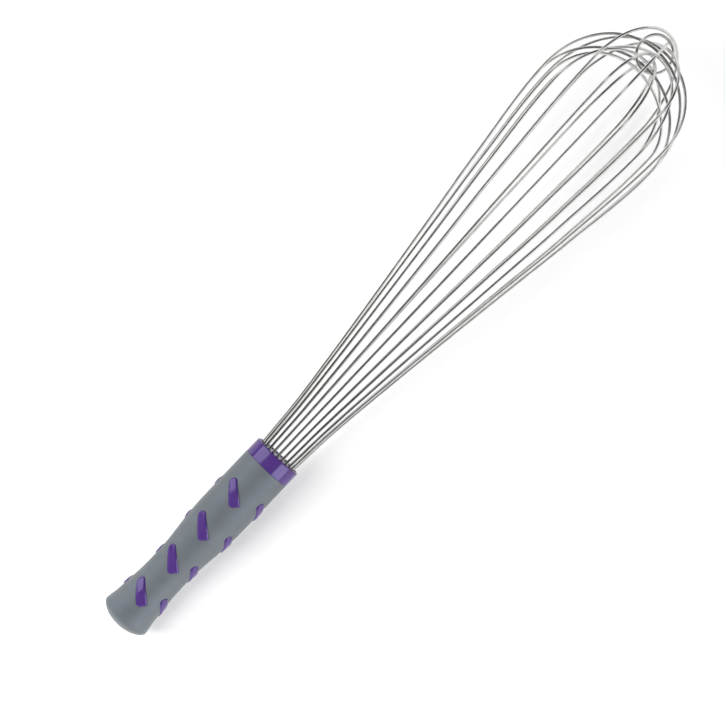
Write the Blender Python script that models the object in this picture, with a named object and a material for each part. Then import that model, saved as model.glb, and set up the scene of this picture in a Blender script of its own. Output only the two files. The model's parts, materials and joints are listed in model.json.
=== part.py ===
"""Balloon whisk: eleven sprung wire loops potted in a two-shot moulded handle.

Local frame while modelling: +X runs along the whisk from the butt to the crown,
with 0 at the front face of the collar.  A leg angle of 0 degrees points along
local +Z and a positive angle turns towards local -Y.  The whole assembly hangs
on one empty, which lays the whisk down on its balloon and its butt.
"""
import math

import bmesh
import bpy
from mathutils import Vector

MM = 0.001

# ---------------------------------------------------------------- dimensions (mm)
GAP = 0.3                   # clearance between touching pieces

HANDLE_LENGTH = 133.0       # butt to the front face of the collar
SLEEVE_FRONT = 123.1        # front end of the soft sleeve, from the butt
SLEEVE_WALL = 1.5
BUTT_WALL = 4.2
BUTT_RADIUS = 15.15         # widest ring of the domed butt
BUTT_DEPTH = 6.8            # dome height up to that ring
BUTT_POWER = 1.6            # fullness of the dome
GRIP = ((6.8, 15.15), (10.0, 14.75), (13.6, 14.05), (20.4, 13.45), (29.0, 12.70),
        (36.0, 12.30), (44.0, 12.25), (53.4, 12.55), (63.0, 13.40), (70.0, 14.15),
        (78.0, 14.75), (88.0, 15.00), (123.1, 15.05))     # station, radius

COLLAR_RADIUS = 15.05       # the round collar is flush with the sleeve
COLLAR_EDGE = 1.1           # rounding of its front edge
CORE_REAR = 4.5             # rear end of the hard core, from the butt
BORE = ((1.0, 13.60), (0.0, 13.60), (-11.3, 12.25), (-25.3, 10.90))   # potting cavity
LIGHTENING_RADIUS = 6.0     # blind hole behind the cavity
LIGHTENING_END = 14.0       # its closed end, from the butt

RIB_STATIONS = (24.9, 50.35, 75.95, 101.7)   # rib centres, from the butt
RIB_ROWS = ((-120.0, 60.0), (-15.3, 48.7), (79.0, 57.0), (160.0, 57.0))   # angle, slant
RIB_HALF = 8.68             # half the length of a rib
RIB_TIP = 2.55              # half its width at the end towards the collar
RIB_HEEL = 3.29             # half its width at the end towards the butt
RIB_CORNER = 1.9            # rounding of the ends, seen from above
RIB_PROUD = 0.75            # height above the sleeve
RIB_BEVEL = 0.45

POT_FRONT = -0.5
POT_REAR = -25.0

WIRE_RADIUS = 0.9
LEG_COUNT = 22
TAIL = -22.0                # buried end of each leg
LEG = ((TAIL, 9.22), (0.0, 11.75), (28.0, 13.7), (55.0, 16.7), (98.0, 22.2),
       (156.0, 30.2), (200.0, 36.4))      # station, distance from the axis
CAGE_LEAN = 0.0035          # sideways drift of the cage for each mm of length

# The loops from the innermost to the outermost where they cross at the crown:
# leg station, turn of the front and rear leg at the belly (degrees),
# belly station of the front and rear leg, crown height, belly radius.
LOOPS = (
    (-4, 5.0, 2.8, 259, 268, 297.2, 42.2),
    (5, 0.0, 0.0, 259, 260, 301.6, 43.0),
    (-3, 0.0, 1.5, 260, 264, 303.8, 42.6),
    (1, 1.2, -5.0, 262, 262, 306.0, 42.6),
    (-1, 1.2, 0.7, 274, 270, 308.2, 42.6),
    (3, -4.0, 4.8, 262, 262, 310.4, 42.6),
    (-5, 0.0, 0.0, 264, 266, 312.6, 43.0),
    (4, 2.0, 0.0, 274, 264, 314.8, 42.8),
    (2, 1.2, 2.4, 282, 276, 317.0, 42.6),
    (0, 0.0, 0.0, 275, 275, 319.2, 42.6),
    (-2, -2.0, 0.0, 281, 278, 323.5, 42.8),
)
RING_STATION = 310.4        # centre of the ring that ties the crossing
RING_RADIUS = 11.0
RING_SIDE = -1.3            # its centre off the axis
RING_TILT = -20.0           # degrees about the axis

REST_ROLL = 7.0             # degrees: two neighbouring legs lie on the table
REST_CONTACT = 270.0        # station where those legs touch it
REST_BUTT = 14.95           # reach of the butt down to the table

ROUND_STEPS = 24


# ---------------------------------------------------------------- helpers
def curve_through(points, x, end_slope=None):
    """Cubic Hermite curve through (station, radius) points."""
    xs = [p[0] for p in points]
    ys = [p[1] for p in points]
    last = len(xs) - 1
    slopes = []
    for i in range(last + 1):
        a, b = max(i - 1, 0), min(i + 1, last)
        slopes.append((ys[b] - ys[a]) / (xs[b] - xs[a]))
    if end_slope is not None:
        slopes[last] = end_slope
    x = min(max(x, xs[0]), xs[last])
    i = max(k for k in range(last) if xs[k] <= x)
    h = xs[i + 1] - xs[i]
    t = (x - xs[i]) / h
    return ((2 * t**3 - 3 * t**2 + 1) * ys[i] + (t**3 - 2 * t**2 + t) * h * slopes[i]
            + (3 * t**2 - 2 * t**3) * ys[i + 1] + (t**3 - t**2) * h * slopes[i + 1])


def sleeve_radius(s):
    """Outside radius of the soft sleeve, s mm from the butt."""
    if s <= BUTT_DEPTH:
        return BUTT_RADIUS * math.sqrt(max(0.0, 1 - ((BUTT_DEPTH - s) / BUTT_DEPTH) ** BUTT_POWER))
    return curve_through(GRIP, s)


def core_radius(s):
    """Outside radius of the hard core under the sleeve."""
    return sleeve_radius(max(s, BUTT_DEPTH + 2.0)) - SLEEVE_WALL - GAP


def along(s):
    """Local x of a station measured from the butt."""
    return s - HANDLE_LENGTH


def around(x, radius, degrees):
    """Local point at an axial station, a radius and a leg angle."""
    a = math.radians(degrees)
    return Vector((x, -radius * math.sin(a), radius * math.cos(a))) * MM


def material(name, colour, roughness, metallic):
    mat = bpy.data.materials.new(name)
    mat.use_nodes = True
    shader = mat.node_tree.nodes["Principled BSDF"]
    shader.inputs["Base Color"].default_value = (*colour, 1.0)
    shader.inputs["Roughness"].default_value = roughness
    shader.inputs["Metallic"].default_value = metallic
    mat.diffuse_color = (*colour, 1.0)
    return mat


def finish(bm, name, mat=None, cutter=False):
    bmesh.ops.remove_doubles(bm, verts=bm.verts, dist=1e-7)
    bmesh.ops.recalc_face_normals(bm, faces=bm.faces)
    mesh = bpy.data.meshes.new(name)
    bm.to_mesh(mesh)
    bm.free()
    mesh.shade_smooth()
    mesh.set_sharp_from_angle(angle=math.radians(32))
    obj = bpy.data.objects.new(name, mesh)
    bpy.context.scene.collection.objects.link(obj)
    obj.parent = root
    if mat:
        mesh.materials.append(mat)
    if cutter:
        obj.hide_render = True
        obj.display_type = 'WIRE'
    else:
        nodes.append(obj)
    return obj


def turned(profile, steps=ROUND_STEPS, start=-REST_ROLL):
    """Body turned about the axis from a closed (x, radius) outline, one corner facing the table."""
    bm = bmesh.new()
    verts = [bm.verts.new(around(x, r, start)) for x, r in profile]
    edges = [bm.edges.new((verts[i], verts[(i + 1) % len(verts)])) for i in range(len(verts))
             if profile[i][1] > 0 or profile[(i + 1) % len(verts)][1] > 0]
    bmesh.ops.spin(bm, geom=verts + edges, cent=(0, 0, 0), axis=(1, 0, 0),
                   angle=2 * math.pi, steps=steps, use_merge=True, use_duplicate=False)
    bmesh.ops.remove_doubles(bm, verts=bm.verts, dist=1e-7)
    loose = [e for e in bm.edges if not e.link_faces]
    bmesh.ops.delete(bm, geom=loose, context='EDGES')
    return bm


def cut(obj, tool, operation='DIFFERENCE'):
    mod = obj.modifiers.new(operation.lower() + "_" + tool.name, 'BOOLEAN')
    mod.operation = operation
    mod.solver = 'EXACT'
    mod.object = tool


def tube(points, radius, cyclic=False):
    """Closed round bar along a list of local points, swept by a curve bevel."""
    data = bpy.data.curves.new("path", 'CURVE')
    data.dimensions = '3D'
    data.bevel_depth = radius * MM
    data.bevel_resolution = 2
    data.use_fill_caps = True
    spline = data.splines.new('POLY')
    spline.points.add(len(points) - 1)
    for p, co in zip(spline.points, points):
        p.co = (*co, 1.0)
    spline.use_cyclic_u = cyclic
    obj = bpy.data.objects.new("path", data)
    bpy.context.scene.collection.objects.link(obj)
    graph = bpy.context.evaluated_depsgraph_get()
    mesh = bpy.data.meshes.new_from_object(obj.evaluated_get(graph))
    bm = bmesh.new()
    bm.from_mesh(mesh)
    bpy.data.objects.remove(obj, do_unlink=True)
    bpy.data.curves.remove(data)
    bpy.data.meshes.remove(mesh)
    bmesh.ops.remove_doubles(bm, verts=bm.verts, dist=1e-7)
    return bm


def rib_loft(bm, s_mid, row, slant, grow, inside, outside, bevel):
    """Slanted, tapered rib with rounded ends, wrapped around the grip."""
    mean = sleeve_radius(s_mid)
    ca, sa = math.cos(math.radians(slant)), math.sin(math.radians(slant))
    corner = RIB_CORNER + grow

    def half_width(l):
        return (RIB_TIP + RIB_HEEL) / 2 + (RIB_TIP - RIB_HEEL) / 2 * l / RIB_HALF + grow

    stations = []
    for end, order in ((-1, (1.0, 0.6, 0.0)), (1, (0.0, 0.6, 1.0))):
        for e in order:
            l = end * (RIB_HALF + grow - corner * (1 - e))
            stations.append((l, half_width(l) - corner * (1 - math.sqrt(1 - e * e))))
        if end < 0:
            stations += [(l, half_width(l)) for l in (-RIB_HALF / 4, RIB_HALF / 4)]
    sections = []
    for l, h in stations:
        b = min(bevel, 0.6 * h)
        if b:
            outline = ((-h, inside, 0), (-h, outside, -b), (-h + b, outside, 0),
                       (h - b, outside, 0), (h, outside, -b), (h, inside, 0))
        else:
            outline = ((-h, inside, 0), (-h, outside, 0), (h, outside, 0), (h, inside, 0))
        ring = []
        for v, level, lift in outline:
            s = s_mid + l * ca + v * sa
            turn = row + math.degrees((v * ca - l * sa) / mean)
            ring.append(bm.verts.new(around(along(s), level(s) + lift, turn)))
        sections.append(ring)
    n = len(sections[0])
    for a, b in zip(sections, sections[1:]):
        for i in range(n):
            j = (i + 1) % n
            bm.faces.new((a[i], a[j], b[j], b[i]))
    bm.faces.new(sections[0])
    bm.faces.new(sections[-1])


def all_ribs(grow, inside, outside, bevel):
    bm = bmesh.new()
    for s in RIB_STATIONS:
        for row, slant in RIB_ROWS:
            rib_loft(bm, s, row, slant, grow, inside, outside, bevel)
    return bm


def half_loop(mouth, belly, x_belly, crown, radius, turn):
    """Path of one leg from its buried tail up to the top of the crown."""
    profile = LEG + ((x_belly, radius),)
    points = []
    stops = (TAIL, 0.0, 22.0, 60.0, 110.0, 160.0, 190.0, 212.0, 230.0, (230.0 + x_belly) / 2)
    for x in stops:
        w = min(1.0, max(0.0, x / x_belly))
        w = w * w * (3 - 2 * w)
        points.append(around(x, curve_through(profile, x, 0.0), mouth + (belly - mouth) * w))
    for k in range(13):
        t = math.pi / 2 * k / 12
        x = x_belly + (crown - x_belly) * math.sin(t)
        points.append(around(x, radius * math.cos(t), belly + turn * math.sin(t) ** 3))
    return points


def loop_path(k, lean_f, lean_r, x_f, x_r, crown, radius):
    """A whole loop: front leg, crown and the rear leg opposite it."""
    mouth = 360.0 / LEG_COUNT * k
    turn = (lean_r - lean_f) / 2
    front = half_loop(mouth, mouth + lean_f, x_f, crown, radius, turn)
    rear = half_loop(mouth + 180, mouth + 180 + lean_r, x_r, crown, radius, -turn)
    path = front + rear[-2::-1]
    return [p + Vector((0, CAGE_LEAN * max(0.0, p.x), 0)) for p in path]


# ---------------------------------------------------------------- start clean
for old in list(bpy.data.objects):
    bpy.data.objects.remove(old, do_unlink=True)

nodes = []
root = bpy.data.objects.new("whisk_axis", None)
bpy.context.scene.collection.objects.link(root)

purple = (0.105, 0.040, 0.300)
steel = (0.66, 0.66, 0.65)

# ---------------------------------------------------------------- hard core with collar and ribs
core_stops = (CORE_REAR, 13.0, 20.0, 29.0, 40.0, 52.0, 63.0, 74.0, 86.0, 104.0,
              SLEEVE_FRONT + GAP)
outline = [(along(CORE_REAR), 0.0)]
outline += [(along(s), core_radius(s)) for s in core_stops]
outline += [(along(SLEEVE_FRONT + GAP), COLLAR_RADIUS)]
for k in range(4):
    t = math.pi / 6 * k
    outline.append((COLLAR_EDGE * (math.sin(t) - 1),
                    COLLAR_RADIUS - COLLAR_EDGE * (1 - math.cos(t))))
outline += [(0.0, 0.0)]
core = finish(turned(outline), "handle_core",
              material("violet_nylon", purple, 0.22, 0.0))

ribs = finish(all_ribs(0.0, lambda s: core_radius(s) - 0.8,
                       lambda s: sleeve_radius(s) + RIB_PROUD, RIB_BEVEL),
              "cut_ribs", cutter=True)

hollow = [(BORE[0][0], 0.0)] + list(BORE)
hollow += [(BORE[-1][0], LIGHTENING_RADIUS), (along(LIGHTENING_END), LIGHTENING_RADIUS),
           (along(LIGHTENING_END), 0.0)]
bore = finish(turned(hollow), "cut_bore", cutter=True)

cut(core, ribs, 'UNION')
cut(core, bore)

# ---------------------------------------------------------------- soft sleeve with rib windows
dome = (0.0, 0.25, 0.8, 1.7, 3.0, 4.6, BUTT_DEPTH)
grip = (9.5, 13.0, 20.0, 29.0, 40.0, 52.0, 63.0, 74.0, 86.0, 104.0)
inner = (104.0, 86.0, 74.0, 63.0, 52.0, 40.0, 29.0, 20.0, 13.0, BUTT_WALL)
outline = [(along(s), sleeve_radius(s)) for s in dome + grip]
outline += [(along(SLEEVE_FRONT - 0.5), sleeve_radius(SLEEVE_FRONT)),
            (along(SLEEVE_FRONT), sleeve_radius(SLEEVE_FRONT) - 0.4),
            (along(SLEEVE_FRONT), core_radius(SLEEVE_FRONT) + GAP)]
outline += [(along(s), core_radius(s) + GAP) for s in inner]
outline += [(along(BUTT_WALL), 0.0)]
sleeve = finish(turned(outline), "grip_sleeve",
                material("grey_elastomer", (0.180, 0.205, 0.220), 0.62, 0.0))
windows = finish(all_ribs(GAP, lambda s: core_radius(s) - 0.9,
                          lambda s: sleeve_radius(s) + 3.0, 0.0),
                 "cut_windows", cutter=True)
cut(sleeve, windows)

# ---------------------------------------------------------------- wire loops, tie ring, potting
paths = [loop_path(*row) for row in LOOPS]
for n, path in enumerate(paths, 1):
    finish(tube(path, WIRE_RADIUS), "wire_loop_%02d" % n,
           material("stainless_wire_%02d" % n, steel, 0.16, 1.0))

tilt = math.radians(RING_TILT)
circle = []
for i in range(28):
    t = 2 * math.pi * i / 28
    side = RING_RADIUS * math.sin(t)
    x = RING_STATION + RING_RADIUS * math.cos(t)
    circle.append(Vector((x, CAGE_LEAN * x - RING_SIDE - side * math.cos(tilt),
                          side * math.sin(tilt))) * MM)
finish(tube(circle, WIRE_RADIUS, cyclic=True), "crown_ring",
       material("stainless_ring", steel, 0.16, 1.0))


def bore_radius(x):
    return curve_through(tuple(reversed(BORE)), x)


pot = finish(turned([(POT_FRONT, 0.0), (POT_FRONT, bore_radius(POT_FRONT) - GAP),
                     (-11.3, bore_radius(-11.3) - GAP), (POT_REAR, bore_radius(POT_REAR) - GAP),
                     (POT_REAR, 0.0)], LEG_COUNT, 0.0), "potting_plug",
             material("potting_resin", (0.16, 0.10, 0.27), 0.35, 0.0))
bm = bmesh.new()
for k in range(LEG_COUNT):
    angle = 360.0 / LEG_COUNT * k
    bar = tube([around(x, curve_through(LEG, x), angle) for x in (TAIL - GAP, 0.0, 6.0)],
               WIRE_RADIUS + GAP)
    piece = bpy.data.meshes.new("socket")
    bar.to_mesh(piece)
    bar.free()
    bm.from_mesh(piece)
    bpy.data.meshes.remove(piece)
cut(pot, finish(bm, "cut_sockets", cutter=True))

# ---------------------------------------------------------------- lay the whisk down
low = max(loop[6] for loop in LOOPS if loop[0] in (0, -1)) * math.cos(math.radians(REST_ROLL))
rise = math.atan((low + WIRE_RADIUS - REST_BUTT)
                 / (REST_CONTACT - along(BUTT_DEPTH)))
root.rotation_euler = (math.radians(REST_ROLL), -rise, 0.0)

bpy.context.view_layer.update()
graph = bpy.context.evaluated_depsgraph_get()
corners = []
for obj in nodes:
    shape = obj.evaluated_get(graph)
    mesh = shape.to_mesh()
    corners += [shape.matrix_world @ v.co for v in mesh.vertices]
    shape.to_mesh_clear()
span = [(min(c[i] for c in corners), max(c[i] for c in corners)) for i in range(3)]
root.location = (-(span[0][0] + span[0][1]) / 2, -(span[1][0] + span[1][1]) / 2, -span[2][0])
bpy.context.view_layer.update()
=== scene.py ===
import json
import math

import bmesh
import bpy
from mathutils import Euler, Matrix, Vector


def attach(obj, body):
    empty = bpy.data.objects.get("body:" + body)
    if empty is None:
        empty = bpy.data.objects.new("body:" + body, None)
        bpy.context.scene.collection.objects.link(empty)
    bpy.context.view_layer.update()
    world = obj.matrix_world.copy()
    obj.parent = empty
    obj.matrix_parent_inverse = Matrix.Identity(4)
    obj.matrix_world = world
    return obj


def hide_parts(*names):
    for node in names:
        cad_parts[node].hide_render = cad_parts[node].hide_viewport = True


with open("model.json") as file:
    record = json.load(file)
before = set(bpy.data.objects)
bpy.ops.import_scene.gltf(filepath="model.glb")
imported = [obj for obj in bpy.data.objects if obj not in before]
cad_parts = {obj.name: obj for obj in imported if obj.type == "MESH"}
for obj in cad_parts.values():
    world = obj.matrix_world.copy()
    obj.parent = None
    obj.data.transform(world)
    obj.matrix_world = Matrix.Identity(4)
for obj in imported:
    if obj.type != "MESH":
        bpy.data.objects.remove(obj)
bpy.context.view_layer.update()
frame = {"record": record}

MM = 0.001

# ---------------------------------------------------------------- dimensions (mm), as in the CAD
GAP = 0.3
HANDLE_LENGTH = 133.0
SLEEVE_FRONT = 123.1
SLEEVE_WALL = 1.5
BUTT_WALL = 4.2
BUTT_RADIUS = 15.15
BUTT_DEPTH = 6.8
BUTT_POWER = 1.6
GRIP = ((6.8, 15.15), (10.0, 14.75), (13.6, 14.05), (20.4, 13.45), (29.0, 12.70),
        (36.0, 12.30), (44.0, 12.25), (53.4, 12.55), (63.0, 13.40), (70.0, 14.15),
        (78.0, 14.75), (88.0, 15.00), (123.1, 15.05))

COLLAR_RADIUS = 15.05
COLLAR_EDGE = 1.1
CORE_REAR = 4.5
BORE = ((0.0, 13.60), (-11.3, 12.25), (-25.3, 10.90))
LIGHTENING_RADIUS = 6.0
LIGHTENING_END = 14.0

RIB_STATIONS = (24.9, 50.35, 75.95, 101.7)
RIB_ROWS = ((-120.0, 60.0), (-15.3, 48.7), (79.0, 57.0), (160.0, 57.0))
RIB_HALF = 8.68
RIB_TIP = 2.55
RIB_HEEL = 3.29
RIB_CORNERS = (2.1, 1.3, 2.5, 2.3)   # tip right, heel right, heel left, tip left
RIB_PROUD = 0.75
RIB_RIM = ((0.06, 0.08), (0.14, 0.18), (0.24, 0.29), (0.36, 0.39), (0.50, 0.49), (0.66, 0.59),
           (0.82, 0.67), (0.96, 0.72), (1.12, 0.745), (1.30, RIB_PROUD))   # inset, height
RIB_SEAM = 0.08             # parting gap between a rib and its window
SEAM = 0.06                 # parting gap between the sleeve and the collar
SEAM_EDGE = 0.18            # rounding of the sleeve there

POT_FRONT = -0.5
POT_REAR = -25.0

WIRE_RADIUS = 0.9
WIRE_DRAWN = 0.87           # the CAD's eight-sided wire has this round wire's section
WIRE_SIDES = 16
LEG_COUNT = 22
TAIL = -22.0
LEG = ((TAIL, 9.22), (0.0, 11.75), (28.0, 13.7), (55.0, 16.7), (98.0, 22.2),
       (156.0, 30.2), (200.0, 36.4))
CAGE_LEAN = 0.0035
LOOPS = (
    (-4, 5.0, 2.8, 259, 268, 297.2, 42.2),
    (5, 0.0, 0.0, 259, 260, 301.6, 43.0),
    (-3, 0.0, 1.5, 260, 264, 303.8, 42.6),
    (1, 1.2, -5.0, 262, 262, 306.0, 42.6),
    (-1, 1.2, 0.7, 274, 270, 308.2, 42.6),
    (3, -4.0, 4.8, 262, 262, 310.4, 42.6),
    (-5, 0.0, 0.0, 264, 266, 312.6, 43.0),
    (4, 2.0, 0.0, 274, 264, 314.8, 42.8),
    (2, 1.2, 2.4, 282, 276, 317.0, 42.6),
    (0, 0.0, 0.0, 275, 275, 319.2, 42.6),
    (-2, -2.0, 0.0, 281, 278, 323.5, 42.8),
)
RING_STATION = 310.4
RING_RADIUS = 11.0
RING_SIDE = -1.3
RING_TILT = -20.0

REST_ROLL = 7.0
REST_CONTACT = 270.0
REST_BUTT = 14.95

# the round shapes bulge past the CAD's straight facets, so they are drawn in by this much
BUTT_TRIM = 0.08
CROWN_TRIM = 0.07
BELLY_TRIM = 0.05
WAIST = 44.0                # the station that the grip is held at
ROUND = 144                 # points round a turned shape


# ---------------------------------------------------------------- shapes of the design
def curve_through(points, x, end_slope=None):
    """Cubic Hermite curve through (station, radius) points."""
    xs = [p[0] for p in points]
    ys = [p[1] for p in points]
    last = len(xs) - 1
    slopes = []
    for i in range(last + 1):
        a, b = max(i - 1, 0), min(i + 1, last)
        slopes.append((ys[b] - ys[a]) / (xs[b] - xs[a]))
    if end_slope is not None:
        slopes[last] = end_slope
    x = min(max(x, xs[0]), xs[last])
    i = max(k for k in range(last) if xs[k] <= x)
    h = xs[i + 1] - xs[i]
    t = (x - xs[i]) / h
    return ((2 * t**3 - 3 * t**2 + 1) * ys[i] + (t**3 - 2 * t**2 + t) * h * slopes[i]
            + (3 * t**2 - 2 * t**3) * ys[i + 1] + (t**3 - t**2) * h * slopes[i + 1])


def sleeve_radius(s):
    if s <= BUTT_DEPTH:
        return BUTT_RADIUS * math.sqrt(max(0.0, 1 - ((BUTT_DEPTH - s) / BUTT_DEPTH) ** BUTT_POWER))
    return curve_through(GRIP, s)


def core_radius(s):
    return sleeve_radius(max(s, BUTT_DEPTH + 2.0)) - SLEEVE_WALL - GAP


def along(s):
    return s - HANDLE_LENGTH


def around(x, radius, degrees):
    """Local point at an axial station, a radius and a leg angle."""
    a = math.radians(degrees)
    return Vector((x, -radius * math.sin(a), radius * math.cos(a)))


def resting_pose():
    """Where the whisk lies: the CAD's tilt, located by the point that the grip is held at."""
    low = max(loop[6] for loop in LOOPS if loop[0] in (0, -1)) * math.cos(math.radians(REST_ROLL))
    rise = math.atan((low + WIRE_RADIUS - REST_BUTT) / (REST_CONTACT - along(BUTT_DEPTH)))
    turn = Euler((math.radians(REST_ROLL), -rise, 0.0)).to_matrix().to_4x4()
    grip = next(m for m in frame["record"]["mounts"] if m["name"] == "grip_hold")
    local = Vector((along(WAIST), 0.0, 0.0)) * MM
    return Matrix.Translation(Vector(grip["pos_m"]) - turn @ local) @ turn


POSE = resting_pose()


# ---------------------------------------------------------------- mesh tools
def to_world(p):
    return POSE @ (Vector(p) * MM)


def build(name, verts, faces, uvs=None, material=None):
    """Mesh object from local points in mm, with an optional (along, around) map."""
    bm = bmesh.new()
    made = [bm.verts.new(to_world(v)) for v in verts]
    layer = bm.loops.layers.uv.new("grain") if uvs else None
    for n, f in enumerate(faces):
        try:
            face = bm.faces.new([made[i] for i in f])
        except ValueError:
            continue
        face.smooth = True
        if uvs:
            for loop, uv in zip(face.loops, uvs[n]):
                loop[layer].uv = uv
    bmesh.ops.remove_doubles(bm, verts=bm.verts, dist=2e-7)
    bmesh.ops.dissolve_degenerate(bm, edges=bm.edges, dist=1e-8)
    bmesh.ops.recalc_face_normals(bm, faces=bm.faces)
    mesh = bpy.data.meshes.new(name)
    bm.to_mesh(mesh)
    bm.free()
    obj = bpy.data.objects.new(name, mesh)
    bpy.context.scene.collection.objects.link(obj)
    if material:
        mesh.materials.append(material)
    return obj


def loft(rings, close_first=False, close_last=False):
    """Faces between rings of equal count; a ring of one repeated point makes a pole."""
    verts, faces = [], []
    n = len(rings[0])
    for ring in rings:
        verts += ring
    for k in range(len(rings) - 1):
        a, b = k * n, (k + 1) * n
        for i in range(n):
            j = (i + 1) % n
            faces.append((a + i, a + j, b + j, b + i))
    if close_first:
        faces.append(tuple(range(n)))
    if close_last:
        faces.append(tuple(range((len(rings) - 1) * n, len(rings) * n)))
    return verts, faces


def sweep(path, radius, sides, cyclic=False):
    """Round wire along a path with frames carried without twist; the map is (mm along, turns around)."""
    pts = [Vector(p) for p in path]
    n = len(pts)
    tangents = []
    for i in range(n):
        a = pts[(i - 1) % n] if cyclic or i > 0 else pts[0]
        b = pts[(i + 1) % n] if cyclic or i < n - 1 else pts[n - 1]
        tangents.append((b - a).normalized())
    ref = tangents[0].orthogonal().normalized()
    normals = [ref]
    for i in range(1, n):
        spin = tangents[i - 1].rotation_difference(tangents[i])
        ref = spin @ ref
        ref = (ref - tangents[i] * ref.dot(tangents[i])).normalized()
        normals.append(ref)
    twist = 0.0
    if cyclic:
        back = tangents[-1].rotation_difference(tangents[0]) @ normals[-1]
        twist = math.atan2(tangents[0].dot(normals[0].cross(back)), normals[0].dot(back))
    run = [0.0]
    for i in range(1, n):
        run.append(run[-1] + (pts[i] - pts[i - 1]).length)
    total = run[-1] + (pts[0] - pts[-1]).length
    verts, faces, uvs = [], [], []
    for i in range(n):
        side = tangents[i].cross(normals[i])
        for k in range(sides):
            a = 2 * math.pi * k / sides - twist * i / n
            verts.append(pts[i] + radius * (math.cos(a) * normals[i] + math.sin(a) * side))
    for i in range(n if cyclic else n - 1):
        j = (i + 1) % n
        u0, u1 = run[i], (total if j == 0 else run[j])
        for k in range(sides):
            m = (k + 1) % sides
            v0, v1 = k / sides, (k + 1) / sides
            faces.append((i * sides + k, i * sides + m, j * sides + m, j * sides + k))
            uvs.append(((u0, v0), (u0, v1), (u1, v1), (u1, v0)))
    if not cyclic:
        for start in (0, (n - 1) * sides):
            faces.append(tuple(range(start, start + sides)))
            uvs.append(tuple((0.0, k / sides) for k in range(sides)))
    return verts, faces, uvs


def apply_modifiers(obj):
    graph = bpy.context.evaluated_depsgraph_get()
    mesh = bpy.data.meshes.new_from_object(obj.evaluated_get(graph), depsgraph=graph)
    old = obj.data
    obj.modifiers.clear()
    obj.data = mesh
    bpy.data.meshes.remove(old)


def combine(obj, tool, operation):
    mod = obj.modifiers.new(operation.lower(), 'BOOLEAN')
    mod.operation = operation
    mod.solver = 'EXACT'
    mod.object = tool
    bpy.context.view_layer.update()
    apply_modifiers(obj)
    mesh = tool.data
    bpy.data.objects.remove(tool, do_unlink=True)
    bpy.data.meshes.remove(mesh)


def smooth(obj, angle=40.0):
    """Smooth shading that leaves the flats flat."""
    obj.data.shade_smooth()
    obj.data.set_sharp_from_angle(angle=math.radians(angle))
    mod = obj.modifiers.new("even_normals", 'WEIGHTED_NORMAL')
    mod.keep_sharp = True
    mod.weight = 80


def place(obj, node):
    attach(obj, "root")
    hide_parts(node)


# ---------------------------------------------------------------- materials
def shader_of(name):
    mat = bpy.data.materials.new(name)
    mat.use_nodes = True
    tree = mat.node_tree
    return mat, tree, tree.nodes["Principled BSDF"]


def noise(tree, vector, scale, detail=3.0, roughness=0.55, distortion=0.0):
    node = tree.nodes.new("ShaderNodeTexNoise")
    node.inputs["Scale"].default_value = scale
    node.inputs["Detail"].default_value = detail
    node.inputs["Roughness"].default_value = roughness
    node.inputs["Distortion"].default_value = distortion
    tree.links.new(vector, node.inputs["Vector"])
    return node.outputs["Fac"]


def scaled(tree, vector, scale):
    node = tree.nodes.new("ShaderNodeMapping")
    node.inputs["Scale"].default_value = scale
    tree.links.new(vector, node.inputs["Vector"])
    return node.outputs["Vector"]


def span(tree, value, low, high, start=0.3, stop=0.7):
    node = tree.nodes.new("ShaderNodeMapRange")
    node.inputs["From Min"].default_value = start
    node.inputs["From Max"].default_value = stop
    node.inputs["To Min"].default_value = low
    node.inputs["To Max"].default_value = high
    tree.links.new(value, node.inputs["Value"])
    return node.outputs["Result"]


def tones(tree, value, dark, light, start=0.3, stop=0.7):
    node = tree.nodes.new("ShaderNodeValToRGB")
    node.color_ramp.elements[0].position = start
    node.color_ramp.elements[0].color = (*dark, 1.0)
    node.color_ramp.elements[1].position = stop
    node.color_ramp.elements[1].color = (*light, 1.0)
    tree.links.new(value, node.inputs["Fac"])
    return node.outputs["Color"]


def bump(tree, height, strength, distance, below=None):
    node = tree.nodes.new("ShaderNodeBump")
    node.inputs["Strength"].default_value = strength
    node.inputs["Distance"].default_value = distance
    tree.links.new(height, node.inputs["Height"])
    if below:
        tree.links.new(below, node.inputs["Normal"])
    return node.outputs["Normal"]


def object_points(tree):
    return tree.nodes.new("ShaderNodeTexCoord").outputs["Object"]


def steel_material():
    """Bright drawn spring wire: fine die lines along the wire, faint cloudy polish."""
    mat, tree, bsdf = shader_of("drawn_stainless")
    bsdf.inputs["Metallic"].default_value = 1.0
    lengthwise = tree.nodes.new("ShaderNodeUVMap")
    lengthwise.uv_map = "grain"
    lines = noise(tree, scaled(tree, lengthwise.outputs["UV"], (0.03, 7.0, 1.0)), 3.0, 4.0, 0.6)
    clouds = noise(tree, object_points(tree), 160.0, 2.0)
    tree.links.new(tones(tree, clouds, (0.57, 0.565, 0.55), (0.67, 0.665, 0.655)),
                   bsdf.inputs["Base Color"])
    tree.links.new(span(tree, lines, 0.09, 0.19), bsdf.inputs["Roughness"])
    tree.links.new(bump(tree, lines, 0.12, 0.00003), bsdf.inputs["Normal"])
    return mat


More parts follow.
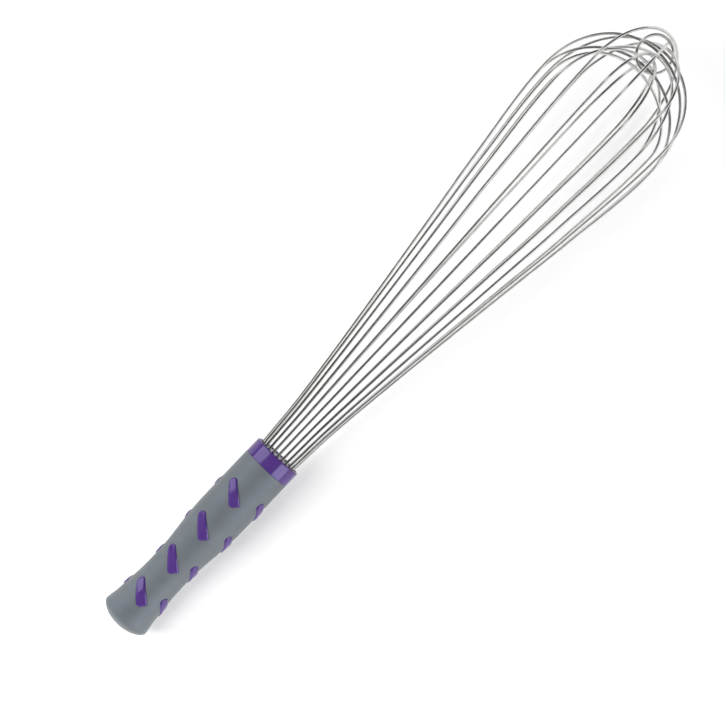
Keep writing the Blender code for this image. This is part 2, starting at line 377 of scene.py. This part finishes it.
def elastomer_material():
    """Soft-touch moulded skin: matte, with a fine eroded mould grain and faint mottling."""
    mat, tree, bsdf = shader_of("soft_touch_grey")
    points = object_points(tree)
    mottle = noise(tree, points, 95.0, 3.0)
    grain = noise(tree, points, 2600.0, 2.0)
    broad = noise(tree, points, 520.0, 2.0)
    tree.links.new(tones(tree, mottle, (0.0785, 0.0895, 0.0980), (0.0877, 0.1005, 0.1090)),
                   bsdf.inputs["Base Color"])
    tree.links.new(span(tree, grain, 0.50, 0.66), bsdf.inputs["Roughness"])
    soft = bump(tree, broad, 0.10, 0.0001)
    tree.links.new(bump(tree, grain, 0.22, 0.00006, soft), bsdf.inputs["Normal"])
    bsdf.inputs["Specular IOR Level"].default_value = 0.35
    bsdf.inputs["Sheen Weight"].default_value = 0.12
    bsdf.inputs["Sheen Roughness"].default_value = 0.45
    return mat


def nylon_material():
    """Glossy moulded nylon: slight colour drift and a very shallow orange peel."""
    mat, tree, bsdf = shader_of("violet_nylon_gloss")
    points = object_points(tree)
    drift = noise(tree, points, 170.0, 2.0)
    peel = noise(tree, points, 700.0, 1.0)
    tree.links.new(tones(tree, drift, (0.0525, 0.0223, 0.134), (0.0585, 0.0262, 0.149)),
                   bsdf.inputs["Base Color"])
    tree.links.new(span(tree, peel, 0.09, 0.14), bsdf.inputs["Roughness"])
    tree.links.new(bump(tree, peel, 0.05, 0.00005), bsdf.inputs["Normal"])
    bsdf.inputs["Specular IOR Level"].default_value = 0.3
    return mat


def resin_material():
    """Cast potting resin: cloudy, semi-gloss."""
    mat, tree, bsdf = shader_of("cast_resin")
    points = object_points(tree)
    clouds = noise(tree, points, 260.0, 3.0, 0.6, 0.4)
    tree.links.new(tones(tree, clouds, (0.055, 0.030, 0.110), (0.085, 0.052, 0.150)),
                   bsdf.inputs["Base Color"])
    tree.links.new(span(tree, clouds, 0.22, 0.36), bsdf.inputs["Roughness"])
    tree.links.new(bump(tree, noise(tree, points, 900.0, 1.0), 0.08, 0.0001),
                   bsdf.inputs["Normal"])
    return mat


steel = steel_material()
elastomer = elastomer_material()
nylon = nylon_material()
resin = resin_material()


# ---------------------------------------------------------------- wire loops and tie ring
def half_loop(mouth, belly, x_belly, crown, radius, turn):
    crown -= CROWN_TRIM
    radius -= BELLY_TRIM
    profile = LEG + ((x_belly, radius),)
    points = []
    legs = 72
    for i in range(legs):
        x = TAIL + (x_belly - TAIL) * i / legs
        w = min(1.0, max(0.0, x / x_belly))
        w = w * w * (3 - 2 * w)
        points.append(around(x, curve_through(profile, x, 0.0), mouth + (belly - mouth) * w))
    turns = 44
    for i in range(turns + 1):
        t = math.pi / 2 * i / turns
        x = x_belly + (crown - x_belly) * math.sin(t)
        points.append(around(x, radius * math.cos(t), belly + turn * math.sin(t) ** 3))
    return points


def loop_path(k, lean_f, lean_r, x_f, x_r, crown, radius):
    mouth = 360.0 / LEG_COUNT * k
    turn = (lean_r - lean_f) / 2
    front = half_loop(mouth, mouth + lean_f, x_f, crown, radius, turn)
    rear = half_loop(mouth + 180, mouth + 180 + lean_r, x_r, crown, radius, -turn)
    path = front + rear[-2::-1]
    return [p + Vector((0, CAGE_LEAN * max(0.0, p.x), 0)) for p in path]


wires = []
for number, row in enumerate(LOOPS, 1):
    node = "wire_loop_%02d" % number
    wire = build(node + "_drawn", *sweep(loop_path(*row), WIRE_DRAWN, WIRE_SIDES), steel)
    place(wire, node)
    wires.append(wire)

tilt = math.radians(RING_TILT)
circle = []
for i in range(96):
    t = 2 * math.pi * i / 96
    side = RING_RADIUS * math.sin(t)
    x = RING_STATION + RING_RADIUS * math.cos(t)
    circle.append((x, CAGE_LEAN * x - RING_SIDE - side * math.cos(tilt), side * math.sin(tilt)))
ring = build("crown_ring_drawn", *sweep(circle, WIRE_DRAWN, WIRE_SIDES, cyclic=True), steel)
place(ring, "crown_ring")
wires.append(ring)


# ---------------------------------------------------------------- hard core: collar, body, ribs
def round_ring(x, radius):
    return [around(x, radius, 360.0 * i / ROUND) for i in range(ROUND)]


back = along(SLEEVE_FRONT + GAP)
rings = [round_ring(along(CORE_REAR), 0.0)]
rings += [round_ring(along(CORE_REAR), core_radius(CORE_REAR) * f) for f in (0.5, 0.97)]
rings += [round_ring(along(s), core_radius(s))
          for s in [CORE_REAR + 0.3] + [8.8 + 2.83 * k for k in range(40)]]
rings += [round_ring(back - 0.02, core_radius(SLEEVE_FRONT))]
rings += [round_ring(back + x, COLLAR_RADIUS - inset)
          for x, inset in ((0.0, 0.12), (0.04, 0.04), (0.12, 0.0))]
rings += [round_ring(x, COLLAR_RADIUS) for x in (-7.0, -3.0, -COLLAR_EDGE)]
for k in range(1, 9):
    t = math.pi / 2 * k / 8
    rings.append(round_ring(-COLLAR_EDGE + COLLAR_EDGE * math.sin(t),
                            COLLAR_RADIUS - COLLAR_EDGE * (1 - math.cos(t))))
lip = BORE[0][1]
rings += [round_ring(-0.02, lip + 0.10), round_ring(-0.12, lip)]
rings += [round_ring(x, r) for x, r in ((-2.0, 13.36), BORE[1], BORE[2],
                                        (BORE[2][0], LIGHTENING_RADIUS),
                                        (along(LIGHTENING_END), LIGHTENING_RADIUS),
                                        (along(LIGHTENING_END), 0.0))]
core = build("handle_core_moulded", *loft(rings), None, nylon)


def rib_outline(inset):
    """Tapered rib with rounded corners seen from above, as (l, v) points in order."""
    def half_width(l):
        return (RIB_TIP + RIB_HEEL) / 2 + (RIB_TIP - RIB_HEEL) / 2 * l / RIB_HALF - inset

    end = RIB_HALF - inset
    corners = [Vector((l, side * half_width(l)))
               for l, side in ((end, 1), (-end, 1), (-end, -1), (end, -1))]
    arcs = []
    for i, c in enumerate(corners):
        to_last = (corners[i - 1] - c).normalized()
        to_next = (corners[(i + 1) % 4] - c).normalized()
        radius = max(RIB_CORNERS[i] - inset, 0.35)
        half = to_last.angle(to_next) / 2
        centre = c + (to_last + to_next).normalized() * radius / math.sin(half)
        first = c + to_last * radius / math.tan(half) - centre
        last = c + to_next * radius / math.tan(half) - centre
        a0 = math.atan2(first.y, first.x)
        turn = (math.atan2(last.y, last.x) - a0 + math.pi) % (2 * math.pi) - math.pi
        arcs.append([centre + radius * Vector((math.cos(a0 + turn * k / 10),
                                               math.sin(a0 + turn * k / 10)))
                     for k in range(11)])
    points = []
    for i in range(4):
        points += arcs[i]
        p, q = arcs[i][-1], arcs[(i + 1) % 4][0]
        steps = 22 if i % 2 == 0 else 5
        points += [p.lerp(q, k / steps) for k in range(1, steps)]
    return points


def rib_rings(s_mid, row, slant, layers, crown=0):
    """Rings of a rib from (inset, level) layers, wrapped around the grip, then rings over its top."""
    mean = sleeve_radius(s_mid)
    ca, sa = math.cos(math.radians(slant)), math.sin(math.radians(slant))

    def wrapped(points, level):
        ring_points = []
        for l, v in points:
            s = s_mid + l * ca + v * sa
            turn = row + math.degrees((v * ca - l * sa) / mean)
            ring_points.append(around(along(s), level(s), turn))
        return ring_points

    result = [wrapped(rib_outline(inset), level) for inset, level in layers]
    rim = rib_outline(layers[-1][0])
    reach = RIB_HALF - RIB_HEEL
    spine = [max(-reach, min(reach, p.x)) for p in rim]
    # both sides meet at shared points of the spine, so that the top is closed
    spine = [(x + spine[(len(rim) - 5 - i) % len(rim)]) / 2 for i, x in enumerate(spine)]
    for k in range(1, crown + 1):
        points = [p.lerp(Vector((x, 0.0)), k / crown) for p, x in zip(rim, spine)]
        result.append(wrapped(points, layers[-1][1]))
    return result


def every_rib(layers, name, material, crown):
    verts, faces = [], []
    for s in RIB_STATIONS:
        for row, slant in RIB_ROWS:
            v, f = loft(rib_rings(s, row, slant, layers, crown), close_first=True)
            faces += [tuple(i + len(verts) for i in face) for face in f]
            verts += v
    return build(name, verts, faces, None, material)


def above(lift):
    return lambda s: sleeve_radius(s) + lift


layers = [(0.0, lambda s: core_radius(s) - 0.8), (0.0, above(-0.9)), (0.0, above(-0.15)),
          (0.0, above(0.0))]
layers += [(inset, above(height)) for inset, height in RIB_RIM]
ribs = every_rib(layers, "ribs", nylon, 4)
combine(core, ribs, 'UNION')
smooth(core)
place(core, "handle_core")


# ---------------------------------------------------------------- soft sleeve
rings = []
for k in range(15):
    a = math.pi / 2 * k / 14
    s = BUTT_DEPTH * (1 - math.cos(a) ** (2 / BUTT_POWER))
    s += BUTT_TRIM * (1 - s / BUTT_DEPTH)
    rings.append(round_ring(along(s), BUTT_RADIUS * math.sin(a)))
steps = 104
skin_end = SLEEVE_FRONT + GAP - SEAM
for k in range(1, steps + 1):
    s = BUTT_DEPTH + (skin_end - SEAM_EDGE - BUTT_DEPTH) * k / steps
    rings.append(round_ring(along(s), sleeve_radius(s)))
for k in range(1, 5):
    a = math.pi / 2 * k / 4
    rings.append(round_ring(along(skin_end - SEAM_EDGE * (1 - math.sin(a))),
                            sleeve_radius(SLEEVE_FRONT) - SEAM_EDGE * (1 - math.cos(a))))
rings.append(round_ring(along(skin_end), core_radius(SLEEVE_FRONT) + GAP))
for s in (104.0, 86.0, 74.0, 63.0, 52.0, 40.0, 29.0, 20.0, 13.0, BUTT_WALL):
    rings.append(round_ring(along(s), core_radius(s) + GAP))
rings.append(round_ring(along(BUTT_WALL), 0.0))
sleeve = build("grip_sleeve_skin", *loft(rings), None, elastomer)
windows = every_rib([(-RIB_SEAM, lambda s: core_radius(s) - 0.9),
                     (-RIB_SEAM, above(0.6)), (-RIB_SEAM, above(3.0))], "windows", None, 3)
combine(sleeve, windows, 'DIFFERENCE')
smooth(sleeve, 50.0)
place(sleeve, "grip_sleeve")


# ---------------------------------------------------------------- potting plug
def resin_ring(radius, x=None):
    """Ring of the cast face; the resin creeps up every wire and up the bore."""
    points = []
    count = LEG_COUNT * 10
    leg = curve_through(LEG, POT_FRONT)
    for i in range(count):
        angle = 360.0 * i / count
        rise = 0.0
        if x is None:
            near = round(angle / (360.0 / LEG_COUNT)) * 360.0 / LEG_COUNT
            d = math.hypot(radius - leg, math.radians(angle - near) * leg)
            rise = 0.26 * math.exp(-max(0.0, d - WIRE_RADIUS) / 0.28)
            rise += 0.22 * math.exp(-(13.5 - radius) / 0.30)
        points.append(around(POT_FRONT - 0.35 + min(rise, 0.45) if x is None else x, radius, angle))
    return points


radii = [0.0, 4.0, 7.0, 9.0, 9.8, 10.2, 10.5, 10.8, 11.1, 11.4, 11.7, 12.0, 12.3, 12.6, 12.9,
         13.1, 13.3, 13.45]
rings = [resin_ring(r) for r in radii]
rings += [resin_ring(13.20, -2.0), resin_ring(12.2, -11.3), resin_ring(10.85, POT_REAR),
          resin_ring(0.0, POT_REAR)]
plug = build("potting_plug_cast", *loft(rings), None, resin)
smooth(plug)
place(plug, "potting_plug")


# ---------------------------------------------------------------- floor, light, camera
def pale_floor():
    mat, tree, bsdf = shader_of("pale_table")
    clouds = noise(tree, object_points(tree), 3.0, 2.0)
    tree.links.new(tones(tree, clouds, (0.90, 0.90, 0.90), (0.91, 0.91, 0.91)),
                   bsdf.inputs["Base Color"])
    bsdf.inputs["Roughness"].default_value = 0.9
    bsdf.inputs["Specular IOR Level"].default_value = 0.1
    # out of the lamps' reach the floor glows softly, so that it stays pale to its edge
    reach = tree.nodes.new("ShaderNodeVectorMath")
    reach.operation = 'LENGTH'
    tree.links.new(object_points(tree), reach.inputs[0])
    tree.links.new(span(tree, reach.outputs["Value"], 0.0, 0.88, 0.45, 1.2),
                   bsdf.inputs["Emission Strength"])
    bsdf.inputs["Emission Color"].default_value = (1.0, 1.0, 1.0, 1.0)
    mat.cycles.emission_sampling = 'NONE'
    mesh = bpy.data.meshes.new("floor")
    bm = bmesh.new()
    bmesh.ops.create_grid(bm, x_segments=2, y_segments=2, size=4.0)
    bm.to_mesh(mesh)
    bm.free()
    mesh.materials.append(mat)
    floor = bpy.data.objects.new("floor", mesh)
    bpy.context.scene.collection.objects.link(floor)
    floor.location = (0, 0, -0.0001)


def soft_box(name, centre, aim, width, height, radiance, gloss=True, wash=True, tint=None):
    """Rectangular softbox; its strength is given as the radiance of its face."""
    light = bpy.data.lights.new(name, 'AREA')
    light.shape = 'RECTANGLE'
    light.size = width
    light.size_y = height
    light.energy = radiance * math.pi * width * height
    if tint:
        light.color = tint
    lamp = bpy.data.objects.new(name, light)
    bpy.context.scene.collection.objects.link(lamp)
    out = (Vector(centre) - Vector(aim)).normalized()
    across = Vector((1, 0, 0)) - out * out.x
    across.normalize()
    up = out.cross(across)
    turn = Matrix((across, up, out)).transposed()
    lamp.matrix_world = Matrix.Translation(Vector(centre)) @ turn.to_4x4()
    lamp.visible_camera = False
    lamp.visible_glossy = gloss
    lamp.visible_diffuse = wash
    return lamp


def side_box(name, side, x, low, high, reach, radiance, **kinds):
    """Softbox beside the whisk that runs over x and fills the angles low to high off the vertical."""
    mid, half = math.radians((low + high) / 2), math.radians((high - low) / 2)
    aim = Vector(((x[0] + x[1]) / 2, 0.0, 0.03))
    centre = aim + reach * Vector((0.0, side * math.sin(mid), math.cos(mid)))
    return soft_box(name, centre, aim, x[1] - x[0], 2 * reach * math.tan(half), radiance, **kinds)


def shine_on(lamps, objects, state):
    """Let lamps light only these objects, or all but these."""
    group = bpy.data.collections.new("lit_" + lamps[0].name)
    for obj in objects:
        group.objects.link(obj)
    for item in group.collection_objects:
        item.light_linking.link_state = state
    for lamp in lamps:
        lamp.light_linking.receiver_collection = group


def soften_under(lamps, objects):
    """Let these objects throw no shadow, so that the wires on the table leave no hard lines."""
    group = bpy.data.collections.new("soft_under")
    for obj in objects:
        group.objects.link(obj)
    for item in group.collection_objects:
        item.light_linking.link_state = 'EXCLUDE'
    for lamp in lamps:
        lamp.light_linking.blocker_collection = group


pale_floor()
# washes carry the light on the table and the matte skin, and fall off towards the crown
washes = [side_box("sky_wash", 1, (-0.80, -0.15), 3.0, 40.0, 1.0, 4.6, gloss=False),
          side_box("key_wash", 1, (-0.80, -0.22), 40.0, 77.0, 0.6, 7.6, gloss=False),
          side_box("fill_wash", -1, (-0.75, -0.18), 40.0, 88.0, 0.6, 7.0, gloss=False),
          soft_box("crown_wash", (0.48, 0.0, 0.42), (0.22, 0.0, 0.0), 0.5, 1.0, 1.8, gloss=False)]
soften_under(washes, [wires[3], wires[4], wires[8], wires[9]])
# boxes carry the gloss: the bands on the hard plastic and the edges of the wires
DAYLIGHT = (0.97, 1.0, 1.24)
shine_on([side_box("key_box", 1, (-0.37, 1.0), 26.0, 77.0, 1.2, 4.3, wash=False, tint=DAYLIGHT),
          side_box("fill_box", -1, (-0.37, 1.0), 43.0, 89.0, 1.2, 5.2, wash=False, tint=DAYLIGHT)],
         wires, 'EXCLUDE')
shine_on([side_box("key_rim", 1, (-0.38, 1.3), 60.0, 88.0, 1.2, 1.4, wash=False),
          side_box("fill_rim", -1, (-0.38, 1.3), 60.0, 88.0, 1.2, 1.4, wash=False),
          side_box("key_edge", 1, (-0.2, 0.6), 43.0, 60.0, 1.2, 1.4, wash=False),
          side_box("fill_edge", -1, (-0.2, 0.6), 43.0, 60.0, 1.2, 1.4, wash=False),
          soft_box("end_rim", (0.45, 0.0, 1.2), (0.12, 0.0, 0.04), 0.3, 2.0, 0.75, wash=False)],
         wires, 'INCLUDE')

world = bpy.data.worlds.new("studio")
bpy.context.scene.world = world
world.use_nodes = True
tree = world.node_tree
back_node = tree.nodes["Background"]
rays = tree.nodes.new("ShaderNodeLightPath")
shade = tree.nodes.new("ShaderNodeMapRange")
shade.inputs["To Min"].default_value = 0.05
shade.inputs["To Max"].default_value = 0.95
tree.links.new(rays.outputs["Is Camera Ray"], shade.inputs["Value"])
tree.links.new(shade.outputs["Result"], back_node.inputs["Strength"])
back_node.inputs["Color"].default_value = (1.0, 1.0, 1.0, 1.0)

scene = bpy.context.scene
scene.view_settings.view_transform = 'Standard'
scene.view_settings.look = 'None'

# the camera looks almost straight down, turned so that the whisk runs up to the right
EYE = (120.0, 0.0, 1270.0)
TARGET = (72.4, 2.6, 0.0)
FOCAL_PIXELS = 2243.0
TURN = math.radians(46.40)
eye, target = to_world(EYE), to_world(TARGET)
look = (target - eye).normalized()
axis = (POSE.to_3x3() @ Vector((1, 0, 0)))
run_dir = (axis - look * axis.dot(look)).normalized()
side_dir = POSE.to_3x3() @ Vector((0, -1, 0))
side_dir = (side_dir - look * side_dir.dot(look) - run_dir * side_dir.dot(run_dir)).normalized()
right = math.cos(TURN) * run_dir + math.sin(TURN) * side_dir
up = math.sin(TURN) * run_dir - math.cos(TURN) * side_dir
camera_data = bpy.data.cameras.new("camera")
camera_data.sensor_fit = 'HORIZONTAL'
camera_data.sensor_width = 36.0
camera_data.lens = FOCAL_PIXELS * 36.0 / 726.0
camera_data.clip_start = 0.05
camera_data.clip_end = 50.0
camera = bpy.data.objects.new("camera", camera_data)
scene.collection.objects.link(camera)
camera.matrix_world = (Matrix.Translation(eye)
                       @ Matrix((right, up, -look)).transposed().to_4x4())
scene.camera = camera
